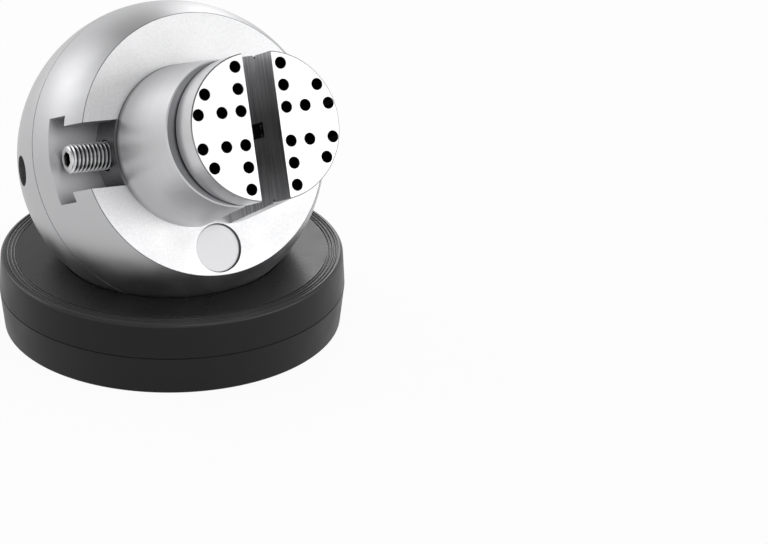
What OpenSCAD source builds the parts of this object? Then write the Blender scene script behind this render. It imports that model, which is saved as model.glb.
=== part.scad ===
// Ball vise. A steel ball rests in a rubber base and tilts in its socket. The ball is split at a
// seam: its upper half is a turning head on a spindle with a thrust bearing and a ball bearing.
// Two jaws slide in the head's T-slot on one screw, left-handed on one half and right-handed on
// the other, and each jaw carries a plate with holes for pins. A plunger locks the head's turn,
// and a screw in the lower half presses a brake shoe on the spindle.
//
// The base stands on Z = 0 with its middle at the origin. Everything above it is drawn in the
// head's own frame, with the ball's centre at the origin, the turning axis along Z and the jaw
// screw along X, and head_place() stands it in the base.

/* [Pose at rest] */
// Tilt of the turning axis away from straight up
head_tilt = 61.7; // [0:0.1:65]
// Turn of the head about its own axis
head_turn = -6.3; // [-180:0.1:180]
// Gap between the two jaws
jaw_gap = 13; // [1:0.5:50]

/* [Ball] */
// Diameter of the steel ball
ball_d = 130; // [124:1:170]
// Height of the head's flat face above the ball's centre
face_h = 34.2; // [30:0.1:38]
// Height of the seam between the head and the lower ball
seam_h = 4; // [3:0.5:5]
// Width of the seam
seam_gap = 0.4; // [0.2:0.1:0.8]

/* [T-slot] */
// Width of the slot where it opens at the flat face
slot_neck_w = 27.5; // [26:0.5:32]
// Width of the slot under its lips
slot_wide_w = 36; // [34:0.5:38]
// Height of the slot's floor above the ball's centre
slot_floor_h = 16.5; // [15:0.5:19]
// Height of the space under the lips
slot_wide_h = 9; // [6:0.5:11]
// Clearance of the jaw feet in the slot, on each side
slide_clear = 0.1; // [0.05:0.05:0.2]

/* [Jaws] */
// Diameter of the two jaws together at the flat face, with no gap
jaw_base_d = 68.4; // [60:0.5:76]
// Diameter of the two jaws together at their top, with no gap
jaw_top_d = 61; // [52:0.5:68]
// Height of a jaw above the flat face
jaw_h = 43.3; // [30:0.5:56]
// Diameter of the rounded outer ends of the jaw feet
foot_d = 70; // [62:0.5:80]
// Radius of the half-round recess in the top of each inner face
notch_r = 3; // [2:0.5:4]
// Depth of that recess below the jaw's top
notch_h = 11; // [8:0.5:14]

/* [Jaw plates] */
// Diameter of the circle that both plates are turned on
plate_d = 60.8; // [50:0.5:68]
// Distance of that circle's centre past a plate's inner edge
plate_step = 3.7; // [0:0.1:6]
// Thickness of a plate
plate_t = 15.8; // [12:0.2:22]
// Diameter of a pin hole
pin_hole_d = 5; // [3:0.1:6]
// Depth of a pin hole
pin_hole_depth = 11; // [6:0.5:11]
// Distance of each column of pin holes from the plate's inner edge
pin_columns = [3.75, 12.25, 22.8, 18.8];
// Distances of the holes in each column from the plate's middle line
pin_rows = [[6.9, 15.9, 24.9], [6.9], [6.9], [14.9]];

/* [Jaw screw] */
// Outer diameter of the screw
screw_d = 12; // [10:0.5:13]
// Pitch of both threads
screw_pitch = 1.75; // [1:0.25:2]
// Height of the screw's axis above the slot's floor
screw_lift = 8.1; // [7.5:0.1:9]
// Distance of the screw's ends inside the ends of the slot's floor
screw_inset = 4.4; // [2:0.1:8]
// Diameter of the neck that the yoke holds
neck_d = 8; // [6:0.5:9]
// Width across the flats of the hexagon sockets
hex_w = 6; // [5:0.5:6]
// Depth of the hexagon sockets
hex_depth = 7; // [5:0.5:12]
// Thickness of the yoke along the screw
yoke_t = 10; // [8:0.5:12]

/* [Lock] */
// Diameter of the plunger's button
button_d = 20.4; // [18:0.2:22]
// Distance from the button to the rim of the flat face
button_margin = 1.3; // [1:0.1:4]
// Depth of the button's top below the flat face
button_inset = 1.2; // [0.3:0.1:2]
// Travel of the plunger
button_stroke = 5; // [4:0.5:5]
// Diameter of the plunger's locking pin
lock_pin_d = 8; // [6:0.5:9]
// Number of lock holes round the lower ball
lock_holes = 12; // [4:1:16]

/* [Turning bearings] */
// Bore, outside diameter and height of the thrust bearing
thrust_size = [30, 47, 11];
// Bore, outside diameter and width of the ball bearing
bearing_size = [20, 42, 12];
// Number of balls in the thrust bearing
thrust_count = 16; // [8:1:18]
// Number of balls in the ball bearing
bearing_count = 9; // [6:1:11]

/* [Brake] */
// Depth of the brake screw's axis below the ball's centre
brake_drop = 11.7; // [11.5:0.1:14]
// Diameter of the hole in the ball's side that leads to the brake screw
brake_hole_d = 13; // [12.5:0.5:16]
// Diameter of the brake screw
brake_screw_d = 12; // [10:0.5:12]
// Diameter of the brake shoe
shoe_d = 8; // [6:0.5:8]

/* [Base] */
// Height of the base
base_h = 32.1; // [26:0.1:40]
// Diameter of the base where it stands
base_foot_d = 145; // [130:1:180]
// Diameter of the base at its parting line
base_mid_d = 148.6; // [134:1:184]
// Diameter of the base at its top
base_top_d = 147; // [132:1:182]
// Height of the parting line
base_mid_h = 16.8; // [12:0.1:22]
// Height of the ball's lowest point above the bench
ball_lift = 11.7; // [8:0.1:16]
// Clearance between the ball and its socket
socket_clear = 0.3; // [0.2:0.1:0.6]
// Radius of the base's rounded top edge
base_edge_r = 1.6; // [0.5:0.1:3]

/* [Hidden] */
$fn = 96;

satin_steel = "#c4c5c7";
ground_steel = "#e6e7e8";
turned_steel = "#adaeb1";
bright_steel = "#d2d3d5";
dark_steel = "#5c5e62";
brass = "#c2a15a";
rubber = "#1f2022";

over = 1;
fit = 0.02;
running = 0.05;
thread_fit = 0.15;

ball_r = ball_d / 2;
ball_centre_h = ball_lift + ball_r;
face_r = sqrt(pow(ball_r, 2) - pow(face_h, 2));
head_low = seam_h + seam_gap / 2;
lower_top = seam_h - seam_gap / 2;

lip_h = slot_floor_h + slot_wide_h;
screw_h = slot_floor_h + screw_lift;
screw_end = sqrt(pow(ball_r, 2) - pow(slot_floor_h, 2)) - screw_inset;
screw_chamfer = 1;
yoke_w = slot_neck_w - 0.5;
yoke_top = face_h - 0.6;
yoke_clear = 0.4;
yoke_screw_d = 4;
yoke_screw_y = (yoke_w + neck_d) / 4 + 0.5;
yoke_screw_len = 5.5;
yoke_screw_tip = slot_floor_h - yoke_screw_len;
yoke_screw_clear = 0.4;
yoke_head_d = 7;
yoke_head_h = 4;
yoke_head_top = yoke_top - 0.2;
tip_room = 0.5;
small_hex_w = 3;
small_hex_depth = 1.8;

jaw_low = face_h + slide_clear;
jaw_top = face_h + jaw_h;
rim_chamfer = 0.8;
rim_chamfer_w = 0.6;
foot_back = yoke_t / 2 + yoke_clear;
plate_top = jaw_top + plate_t;
plate_chamfer = 0.4;
plate_groove = 1.2;
stud_d = 10;
stud_len = 12;
stud_x = 14;
stud_gap = 0.5;
screw_hole_clear = 0.6;
dowel_d = 4;
dowel_len = 10;
dowel_in_plate = 4;
dowel_end = 0.3;
dowel_place = [12, 20];
set_screw_d = 5;
set_screw_drop = 6.5;
set_screw_back = -notch_r - 0.1;
set_hex = 2.5;
counterbore_depth = 5;

flange_d = 66;
flange_t = 5;
flange_screw_d = 5;
flange_screw_r = 27;
flange_screw_turns = [60, 120, 240, 300];
flange_screw_len = 17;
flange_hole_clear = 0.5;
flange_head_h = 2.8;
flange_head_clear = 0.1;
flange_hole_end = 1.5;

thrust_bore_r = thrust_size[0] / 2;
thrust_outer_r = thrust_size[1] / 2;
thrust_h = thrust_size[2];
thrust_low = head_low - thrust_h;
washer_t = 3;
washer_inset = 1;
washer_clear = 0.3;
thrust_track_r = (thrust_bore_r + thrust_outer_r) / 2;
thrust_track_h = head_low - thrust_h / 2;
track_depth = 0.6;
track_clear = 0.1;
thrust_ball_r = thrust_h / 2 - washer_t + track_depth - track_clear;
thrust_cage_t = 2;
thrust_cage_in = 1.3;
thrust_cage_out = 0.9;

bearing_bore_r = bearing_size[0] / 2;
bearing_outer_r = bearing_size[1] / 2;
bearing_w = bearing_size[2];
journal_low = -20;
bearing_low = journal_low - bearing_w;
bearing_mid = journal_low - bearing_w / 2;
bearing_track_r = (bearing_bore_r + bearing_outer_r) / 2;
race_t = (bearing_outer_r - bearing_bore_r) * 0.29;
bearing_track_depth = 0.8;
bearing_cage_t = 1.8;
bearing_cage_w = 8.4;
bearing_ball_r = (bearing_outer_r - bearing_bore_r) / 2 - race_t + bearing_track_depth
    - track_clear;
bore_clear = 0.6;
lock_washer_t = 1.2;
lock_washer_w = 5.5;
nut_t = 8;
nut_w = 6;
nut_slot = 4;
washer_low = bearing_low - lock_washer_t;
nut_low = washer_low - nut_t;
spindle_low = nut_low - 1.5;
circlip_t = 1.75;
circlip_in = 2.5;
circlip_out = 1.4;
circlip_gap = 8;
circlip_clear = 0.1;
plug_d = 48;
plug_top = spindle_low - 7;
plug_slot = [28, 3, 5];

button_r = button_d / 2;
button_y = button_margin + button_r - face_r;
button_top = face_h - button_inset;
button_bore_r = button_r + 0.1;
button_floor = head_low + 3.8;
button_low = button_floor + button_stroke + 0.5;
button_roof = button_top - 3.5;
button_chamfer = 0.3;
lock_pin_r = lock_pin_d / 2;
lock_pin_low = head_low + 0.4;
lock_hole_depth = button_stroke + 1.3;
lock_pin_clear = 0.1;
lock_hole_clear = 0.15;
spring_room = 3;
button_wall = button_r - lock_pin_r - spring_room;
key_pin_d = 3;
key_h = slot_floor_h + slot_wide_h / 2;
key_depth = button_wall * 0.5625;
key_side = 0.1;
key_end = 0.2;
key_back = -slot_wide_w / 2 - 0.3;
spring_wire = 1.2;
spring_turns = 8;
spring_r = (button_r - button_wall + lock_pin_r) / 2;
spring_rings = 8;
spring_sides = 6;
spring_end = 0.1;
spring_low = button_floor + spring_wire / 2 + spring_end;
spring_rise = button_roof - button_floor - spring_wire - 2 * spring_end;

brake_h = -brake_drop;
brake_reach = sqrt(pow(ball_r, 2) - pow(brake_drop, 2));
brake_screw_len = 14;
brake_free = 0.3;
shoe_len = 15.5;
shoe_tip_x = -(thrust_bore_r + brake_free);
shoe_back_x = shoe_tip_x - shoe_len;
brake_screw_back_x = shoe_back_x - brake_screw_len;
brake_bore_x = brake_screw_back_x - 1.2;
shoe_bore_x = shoe_back_x + 0.5;

base_socket_r = ball_r + socket_clear;
base_floor_t = 5;
base_well_r = 25;
tread_radii = [36, 48, 60];
tread_w = 3;
tread_depth = 1.5;
parting_w = 0.4;
parting_depth = 0.3;
groove_steps = [2.2, 3.6, 5.2, 6.5];
groove_w = 0.45;

// Stand something drawn in the head's frame in the base, at the head's tilt and turn.
module head_place() {
    translate([0, 0, ball_centre_h])
        rotate([head_tilt, 0, 0])
            rotate([0, 0, head_turn])
                children();
}

// A ring from height low to high.
module ring(inner_r, outer_r, low, high) {
    translate([0, 0, low])
        difference() {
            cylinder(r = outer_r, h = high - low);
            translate([0, 0, -over])
                cylinder(r = inner_r, h = high - low + 2 * over);
        }
}

// A round bar along X from one place to another.
module bar_x(r, from, to) {
    translate([from, 0, 0])
        rotate([0, 90, 0])
            cylinder(r = r, h = to - from);
}

// A round track for balls: a ring of round section.
module track(r, section_r, h) {
    translate([0, 0, h])
        rotate_extrude()
            translate([r, 0])
                circle(r = section_r);
}

// The part of the ball between two heights.
module ball_slice(low, high) {
    intersection() {
        sphere(r = ball_r);
        translate([-ball_d, -ball_d, low])
            cube([2 * ball_d, 2 * ball_d, high - low]);
    }
}

// A hexagon socket that opens towards +X at the origin.
module hex_socket_x(width, depth) {
    translate([-depth, 0, 0])
        rotate([0, 90, 0])
            cylinder(d = width / cos(30), h = depth + over, $fn = 6);
}

// A hexagon socket that opens upwards at the origin.
module hex_socket_up(width, depth) {
    translate([0, 0, -depth])
        cylinder(d = width / cos(30), h = depth + over, $fn = 6);
}

// The base's outside: a tapered foot up to the parting line, then a wall that leans in, and a
// rounded top edge.
module base_outside() {
    cylinder(d1 = base_foot_d, d2 = base_mid_d, h = base_mid_h);
    translate([0, 0, base_mid_h])
        cylinder(d1 = base_mid_d, d2 = base_top_d, h = base_h - base_edge_r - base_mid_h);
    cylinder(r = base_top_d / 2 - base_edge_r, h = base_h);
    track(base_top_d / 2 - base_edge_r, base_edge_r, base_h - base_edge_r);
}

// A square groove round the base.
module base_groove(r, w, low, high) {
    ring(r - w / 2, r + w / 2, low, high);
}

// The rubber base: a socket for the ball, fine rings round its top, and treads underneath.
module base_ring() {
    color(rubber)
        difference() {
            base_outside();
            translate([0, 0, ball_centre_h])
                sphere(r = base_socket_r);
            translate([0, 0, base_floor_t])
                cylinder(r = base_well_r, h = base_h);
            for (step = groove_steps)
                base_groove(base_top_d / 2 - step, groove_w, base_h - groove_w, base_h + over);
            base_groove(base_mid_d / 2, 2 * parting_depth, base_mid_h - parting_w / 2,
                base_mid_h + parting_w / 2);
            for (r = tread_radii)
                base_groove(r, tread_w, -over, tread_depth);
        }
}

// The ball below the seam, bored for the spindle's two bearings, with the lock holes round its
// top and the brake hole in its side.
module lower_ball() {
    color(satin_steel)
        head_place()
            difference() {
                ball_slice(-ball_r - over, lower_top);
                translate([0, 0, thrust_low])
                    cylinder(r = thrust_outer_r + fit, h = ball_r);
                translate([0, 0, journal_low])
                    cylinder(r = thrust_bore_r + bore_clear, h = ball_r);
                translate([0, 0, -ball_d])
                    cylinder(r = bearing_outer_r + fit, h = ball_d + journal_low);
                ring(bearing_outer_r - over, bearing_outer_r + circlip_out + circlip_clear,
                    bearing_low - circlip_t - running, bearing_low);
                translate([0, 0, -ball_d])
                    cylinder(d = plug_d, h = ball_d + plug_top);
                for (i = [0 : lock_holes - 1])
                    rotate([0, 0, i * 360 / lock_holes - 90])
                        translate([-button_y, 0, lower_top - lock_hole_depth])
                            cylinder(r = lock_pin_r + lock_hole_clear, h = lock_hole_depth + over);
                translate([0, 0, brake_h]) {
                    bar_x(brake_hole_d / 2, -ball_r - over, brake_bore_x);
                    bar_x(brake_screw_d / 2 + running, brake_bore_x - over, shoe_bore_x);
                    bar_x(shoe_d / 2 + running, shoe_back_x - over, -thrust_bore_r);
                }
            }
}

// The threaded plug that closes the lower ball, flush with it, with a slot for a key.
module bottom_plug() {
    color(satin_steel)
        head_place()
            difference() {
                intersection() {
                    sphere(r = ball_r);
                    translate([0, 0, -ball_d])
                        cylinder(r = plug_d / 2 - fit, h = ball_d + plug_top);
                }
                translate([-plug_slot[0] / 2, -plug_slot[1] / 2, -ball_r - over])
                    cube(plug_slot);
            }
}

// The thrust bearing's lower washer, in the lower ball.
module thrust_lower_washer() {
    color(bright_steel)
        head_place()
            difference() {
                ring(thrust_bore_r + washer_inset, thrust_outer_r, thrust_low,
                    thrust_low + washer_t);
                track(thrust_track_r, thrust_ball_r + track_clear, thrust_track_h);
            }
}

// The thrust bearing's upper washer, under the spindle's flange.
module thrust_upper_washer() {
    color(bright_steel)
        head_place()
            difference() {
                ring(thrust_bore_r + fit, thrust_outer_r - washer_clear, head_low - washer_t,
                    head_low);
                track(thrust_track_r, thrust_ball_r + track_clear, thrust_track_h);
            }
}

// One ball of the thrust bearing for each place round it.
module thrust_ball_places() {
    for (i = [0 : thrust_count - 1])
        rotate([0, 0, i * 360 / thrust_count])
            translate([thrust_track_r, 0, thrust_track_h])
                children();
}

module thrust_balls() {
    color(bright_steel)
        head_place()
            thrust_ball_places()
                sphere(r = thrust_ball_r);
}

module thrust_cage() {
    color(brass)
        head_place()
            difference() {
                ring(thrust_bore_r + thrust_cage_in, thrust_outer_r - thrust_cage_out,
                    thrust_track_h - thrust_cage_t / 2, thrust_track_h + thrust_cage_t / 2);
                thrust_ball_places()
                    sphere(r = thrust_ball_r + track_clear);
            }
}

// The ball bearing's outer race, in the lower ball.
module bearing_outer_race() {
    color(bright_steel)
        head_place()
            difference() {
                ring(bearing_outer_r - race_t, bearing_outer_r, bearing_low, journal_low);
                track(bearing_track_r, bearing_ball_r + track_clear, bearing_mid);
            }
}

// The ball bearing's inner race, on the spindle.
module bearing_inner_race() {
    color(bright_steel)
        head_place()
            difference() {
                ring(bearing_bore_r + fit, bearing_bore_r + race_t, bearing_low, journal_low);
                track(bearing_track_r, bearing_ball_r + track_clear, bearing_mid);
            }
}

module bearing_ball_places() {
    for (i = [0 : bearing_count - 1])
        rotate([0, 0, i * 360 / bearing_count])
            translate([bearing_track_r, 0, bearing_mid])
                children();
}

module bearing_balls() {
    color(bright_steel)
        head_place()
            bearing_ball_places()
                sphere(r = bearing_ball_r);
}

module bearing_cage() {
    color(brass)
        head_place()
            difference() {
                ring(bearing_track_r - bearing_cage_t / 2, bearing_track_r + bearing_cage_t / 2,
                    bearing_mid - bearing_cage_w / 2, bearing_mid + bearing_cage_w / 2);
                bearing_ball_places()
                    bar_x(bearing_ball_r + track_clear, -race_t, race_t);
            }
}

// The open ring that holds the outer race up in the lower ball.
module bearing_circlip() {
    color(dark_steel)
        head_place()
            difference() {
                ring(bearing_outer_r - circlip_in, bearing_outer_r + circlip_out,
                    bearing_low - circlip_t, bearing_low);
                translate([0, -circlip_gap / 2, bearing_low - 2 * circlip_t])
                    cube([2 * bearing_outer_r, circlip_gap, 4 * circlip_t]);
            }
}

// The washer between the inner race and the nut.
module lock_washer() {
    color(dark_steel)
        head_place()
            ring(bearing_bore_r + fit, bearing_bore_r + lock_washer_w, washer_low, bearing_low);
}

// The slotted nut that clamps the inner race on the spindle.
module spindle_nut() {
    color(dark_steel)
        head_place()
            difference() {
                ring(bearing_bore_r - thread_fit + fit, bearing_bore_r + nut_w, nut_low, washer_low);
                for (turn = [0, 90, 180, 270])
                    rotate([0, 0, turn])
                        translate([bearing_bore_r + nut_slot, -nut_slot / 2, nut_low - over])
                            cube([nut_slot, nut_slot, nut_t + 2 * over]);
            }
}

// The spindle that the head turns on: a flange in the head's underside, the journal that the
// brake shoe presses, the bearing seat and the nut's thread.
module spindle() {
    color(bright_steel)
        head_place()
            difference() {
                union() {
                    translate([0, 0, head_low])
                        cylinder(d = flange_d - 2 * fit, h = flange_t);
                    translate([0, 0, journal_low])
                        cylinder(r = thrust_bore_r, h = head_low - journal_low + over);
                    translate([0, 0, washer_low])
                        cylinder(r = bearing_bore_r, h = journal_low - washer_low + over);
                    translate([0, 0, spindle_low])
                        cylinder(r = bearing_bore_r - thread_fit, h = washer_low - spindle_low + over);
                }
                flange_screw_places() {
                    translate([0, 0, -over])
                        cylinder(d = flange_screw_d + flange_hole_clear, h = flange_t + 2 * over);
                    cylinder(d1 = 2 * flange_screw_d + flange_head_clear,
                        d2 = flange_screw_d + flange_head_clear, h = flange_head_h);
                }
            }
}

// The places of the flange's screws, clear of the T-slot above them.
module flange_screw_places() {
    for (turn = flange_screw_turns)
        rotate([0, 0, turn])
            translate([flange_screw_r, 0, head_low])
                children();
}

// The countersunk screws that hold the spindle's flange to the head.
module spindle_screws() {
    color(dark_steel)
        head_place()
            flange_screw_places()
                difference() {
                    union() {
                        cylinder(d1 = 2 * flange_screw_d, d2 = flange_screw_d,
                            h = flange_head_h);
                        cylinder(d = flange_screw_d, h = flange_screw_len);
                    }
                    mirror([0, 0, 1])
                        hex_socket_up(small_hex_w, small_hex_depth);
                }
}

// The brass shoe that presses on the spindle's journal.
module brake_shoe() {
    color(brass)
        head_place()
            translate([0, 0, brake_h])
                bar_x(shoe_d / 2, shoe_back_x, shoe_tip_x);
}

// The set screw that pushes the shoe, turned with a key through the hole in the ball's side.
module brake_screw() {
    color(dark_steel)
        head_place()
            translate([0, 0, brake_h])
                difference() {
                    bar_x(brake_screw_d / 2, brake_screw_back_x, shoe_back_x);
                    translate([brake_screw_back_x, 0, 0])
                        mirror([1, 0, 0])
                            hex_socket_x(hex_w, hex_depth);
                }
}

// The ball above the seam: the turning head, with the T-slot across it, the button's bore and
// the recess for the spindle's flange.
module upper_ball() {
    color(satin_steel)
        head_place()
            difference() {
                ball_slice(head_low, face_h);
                translate([-ball_r - over, -slot_neck_w / 2, slot_floor_h])
                    cube([ball_d + 2 * over, slot_neck_w, ball_r]);
                translate([-ball_r - over, -slot_wide_w / 2, slot_floor_h])
                    cube([ball_d + 2 * over, slot_wide_w, slot_wide_h]);
                translate([0, 0, head_low - over])
                    cylinder(d = flange_d, h = flange_t + over);
                flange_screw_places()
                    cylinder(d = flange_screw_d + 2 * fit, h = flange_screw_len + flange_hole_end);
                yoke_screw_places()
                    translate([0, 0, yoke_screw_tip - tip_room])
                        cylinder(d = yoke_screw_d + 2 * fit, h = slot_floor_h);
                translate([0, button_y, 0]) {
                    translate([0, 0, button_floor])
                        cylinder(r = button_bore_r, h = ball_r);
                    cylinder(r = lock_pin_r + lock_pin_clear, h = ball_r);
                }
                translate([0, -slot_neck_w / 2, key_h])
                    rotate([90, 0, 0])
                        cylinder(d = key_pin_d + 2 * fit, h = -button_y - slot_neck_w / 2);
            }
}

// The places of the two screws that hold the yoke.
module yoke_screw_places() {
    for (side = [-1, 1])
        translate([0, side * yoke_screw_y, 0])
            children();
}

// The yoke that straddles the screw's neck, so the screw turns but doesn't travel.
module screw_yoke() {
    color(dark_steel)
        head_place()
            difference() {
                translate([-yoke_t / 2, -yoke_w / 2, slot_floor_h])
                    cube([yoke_t, yoke_w, yoke_top - slot_floor_h]);
                translate([0, 0, screw_h])
                    bar_x(neck_d / 2 + slide_clear, -yoke_t, yoke_t);
                translate([-yoke_t, -neck_d / 2 - slide_clear, slot_floor_h - over])
                    cube([2 * yoke_t, neck_d + 2 * slide_clear, screw_lift + over]);
                yoke_screw_places() {
                    translate([0, 0, slot_floor_h - over])
                        cylinder(d = yoke_screw_d + yoke_screw_clear, h = ball_r);
                    translate([0, 0, yoke_head_top - yoke_head_h])
                        cylinder(d = yoke_head_d + yoke_screw_clear, h = ball_r);
                }
            }
}

module yoke_screws() {
    color(dark_steel)
        head_place()
            yoke_screw_places()
                difference() {
                    union() {
                        translate([0, 0, yoke_screw_tip])
                            cylinder(d = yoke_screw_d, h = yoke_head_top - yoke_screw_tip);
                        translate([0, 0, yoke_head_top - yoke_head_h])
                            cylinder(d = yoke_head_d, h = yoke_head_h);
                    }
                    translate([0, 0, yoke_head_top])
                        hex_socket_up(small_hex_w, small_hex_depth);
                }
}

// One threaded half of the screw, from the yoke to its chamfered end.
module screw_half() {
    bar_x(neck_d / 2, -over, yoke_t / 2 + over);
    bar_x(screw_d / 2, yoke_t / 2 + slide_clear, screw_end - screw_chamfer);
    translate([screw_end - screw_chamfer, 0, 0])
        rotate([0, 90, 0])
            cylinder(d1 = screw_d, d2 = screw_d - 2 * screw_chamfer, h = screw_chamfer);
}

// The jaw screw: left-handed on one side of its neck and right-handed on the other, with a
// hexagon socket in each end.
module lead_screw() {
    color(bright_steel)
        head_place()
            translate([0, 0, screw_h])
                difference() {
                    union() {
                        screw_half();
                        mirror([1, 0, 0])
                            screw_half();
                    }
                    for (side = [0, 1])
                        mirror([side, 0, 0])
                            translate([screw_end, 0, 0])
                                hex_socket_x(hex_w, hex_depth);
                }
}

// Stand a jaw's pieces in the head: side 0 is the left jaw and side 1 its mirror image. They
// are drawn with the jaw's inner face on X = 0 and the jaw towards -X.
module jaw_place(side) {
    head_place()
        mirror([side, 0, 0])
            translate([-jaw_gap / 2, 0, 0])
                children();
}

// Everything on the far side of a jaw's inner face.
module past_inner_face() {
    translate([0, -ball_r, -ball_r])
        cube([ball_d, ball_d, 2 * ball_d]);
}

// A jaw's foot: a T that fills the slot, with a rounded outer end.
module jaw_foot() {
    intersection() {
        cylinder(d = foot_d, h = jaw_low + over);
        translate([-ball_r, 0, slot_floor_h + slide_clear]) {
            translate([0, slide_clear - slot_wide_w / 2, 0])
                cube([ball_r - foot_back, slot_wide_w - 2 * slide_clear,
                    slot_wide_h - 2 * slide_clear]);
            translate([0, slide_clear - slot_neck_w / 2, 0])
                cube([ball_r - foot_back, slot_neck_w - 2 * slide_clear,
                    jaw_low + over - slot_floor_h - slide_clear]);
        }
    }
}

// The places of a jaw's two dowels.
module dowel_places() {
    for (side = [-1, 1])
        translate([-dowel_place[0], side * dowel_place[1], jaw_top - dowel_len + dowel_in_plate])
            children();
}

// A jaw: a half cone over the face, its foot, the thread for the screw, and the holes that hold
// its plate.
module jaw() {
    difference() {
        union() {
            translate([0, 0, jaw_low])
                cylinder(d1 = jaw_base_d, d2 = jaw_top_d, h = jaw_top - rim_chamfer - jaw_low);
            translate([0, 0, jaw_top - rim_chamfer])
                cylinder(d1 = jaw_top_d, d2 = jaw_top_d - 2 * rim_chamfer_w, h = rim_chamfer);
            jaw_foot();
        }
        past_inner_face();
        translate([0, 0, screw_h]) {
            bar_x(screw_d / 2 + running, -foot_d, over);
            bar_x(screw_d / 2 + screw_hole_clear, -foot_d, counterbore_depth - foot_d / 2);
        }
        translate([0, 0, jaw_top - notch_h])
            cylinder(r = notch_r, h = notch_h + over);
        translate([-stud_x, 0, jaw_top - stud_len - stud_gap])
            cylinder(d = stud_d + 2 * fit, h = jaw_h);
        translate([0, 0, jaw_top - set_screw_drop])
            bar_x(set_screw_d / 2 + fit, -stud_x, 0);
        dowel_places()
            cylinder(d = dowel_d + 2 * fit, h = jaw_h);
    }
}

module left_jaw() {
    color(turned_steel)
        jaw_place(0)
            jaw();
}

module right_jaw() {
    color(turned_steel)
        jaw_place(1)
            jaw();
}

// A jaw plate: a ground half disc with an undercut lower edge, its pin holes, and the stud
// that drops into the jaw.
module plate() {
    difference() {
        translate([plate_step, 0, jaw_top]) {
            cylinder(d1 = plate_d - 2 * plate_groove, d2 = plate_d, h = plate_groove);
            translate([0, 0, plate_groove])
                cylinder(d = plate_d, h = plate_t - plate_groove - plate_chamfer);
            translate([0, 0, plate_t - plate_chamfer])
                cylinder(d1 = plate_d, d2 = plate_d - 2 * plate_chamfer, h = plate_chamfer);
        }
        past_inner_face();
        for (i = [0 : len(pin_columns) - 1])
            for (row = pin_rows[i])
                for (side = [-1, 1])
                    translate([-pin_columns[i], side * row, plate_top - pin_hole_depth])
                        cylinder(d = pin_hole_d, h = pin_hole_depth + over);
        dowel_places()
            cylinder(d = dowel_d + 2 * fit, h = dowel_len + dowel_end);
    }
    translate([-stud_x, 0, jaw_top - stud_len])
        cylinder(d = stud_d, h = stud_len + over);
}

module left_plate() {
    color(ground_steel)
        jaw_place(0)
            plate();
}

module right_plate() {
    color(ground_steel)
        jaw_place(1)
            plate();
}

module left_dowels() {
    color(bright_steel)
        jaw_place(0)
            dowel_places()
                cylinder(d = dowel_d, h = dowel_len);
}

module right_dowels() {
    color(bright_steel)
        jaw_place(1)
            dowel_places()
                cylinder(d = dowel_d, h = dowel_len);
}

// The set screw in a jaw's inner face, which clamps the plate's stud.
module set_screw() {
    translate([0, 0, jaw_top - set_screw_drop])
        difference() {
            bar_x(set_screw_d / 2, stud_d / 2 + fit / 2 - stud_x, set_screw_back);
            translate([set_screw_back, 0, 0])
                hex_socket_x(set_hex, set_hex);
        }
}

module left_set_screw() {
    color(dark_steel)
        jaw_place(0)
            set_screw();
}

module right_set_screw() {
    color(dark_steel)
        jaw_place(1)
            set_screw();
}

// The plunger: a button with a cup under it for the spring, and a pin that drops into one of
// the lock holes. A key way in its side keeps it from turning or coming out.
module lock_button() {
    color(ground_steel)
        head_place()
            translate([0, button_y, 0])
                difference() {
                    union() {
                        ring(button_r - button_wall, button_r, button_low, button_roof);
                        translate([0, 0, button_roof])
                            cylinder(r = button_r, h = button_top - button_roof - button_chamfer);
                        translate([0, 0, button_top - button_chamfer])
                            cylinder(r1 = button_r, r2 = button_r - button_chamfer,
                                h = button_chamfer);
                        translate([0, 0, lock_pin_low])
                            cylinder(r = lock_pin_r, h = button_roof - lock_pin_low + over);
                    }
                    translate([-key_pin_d / 2 - key_side, button_r - key_depth,
                            key_h - key_pin_d / 2 - key_side])
                        cube([key_pin_d + 2 * key_side, button_r,
                            key_pin_d + 2 * key_side + button_stroke]);
                }
}

// The pin that runs in the button's key way.
module lock_key_pin() {
    color(dark_steel)
        head_place()
            translate([0, key_back, key_h])
                rotate([90, 0, 0])
                    cylinder(d = key_pin_d, h = key_back - button_y - button_r + key_depth - key_end);
}

// The points of the coil spring's middle line, and a ring of points round each.
spring_count = spring_turns * spring_rings;
function spring_centre(i) = [
    spring_r * cos(i * 360 / spring_rings),
    spring_r * sin(i * 360 / spring_rings),
    spring_low + spring_rise * i / spring_count];
function spring_ring(i) = [for (k = [0 : spring_sides - 1])
    let (turn = i * 360 / spring_rings, a = k * 360 / spring_sides)
    spring_centre(i) + spring_wire / 2
        * [cos(a) * cos(turn), cos(a) * sin(turn), sin(a)]];
spring_self_gap = spring_rise / spring_turns - spring_wire;
echo(spring_self_gap = spring_self_gap);

// The spring that pushes the plunger back up: one wound wire in the button's cup.
module lock_spring() {
    points = [for (i = [0 : spring_count]) each spring_ring(i)];
    sides = [for (i = [0 : spring_count - 1], k = [0 : spring_sides - 1])
        let (a = i * spring_sides + k, b = i * spring_sides + (k + 1) % spring_sides)
        each [[a, a + spring_sides, b + spring_sides], [a, b + spring_sides, b]]];
    first = [for (k = [0 : spring_sides - 1]) k];
    last = [for (k = [spring_sides - 1 : -1 : 0]) spring_count * spring_sides + k];
    color(bright_steel)
        head_place()
            translate([0, button_y, 0])
                polyhedron(points, concat([first], sides, [last]), convexity = 10);
}

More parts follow.
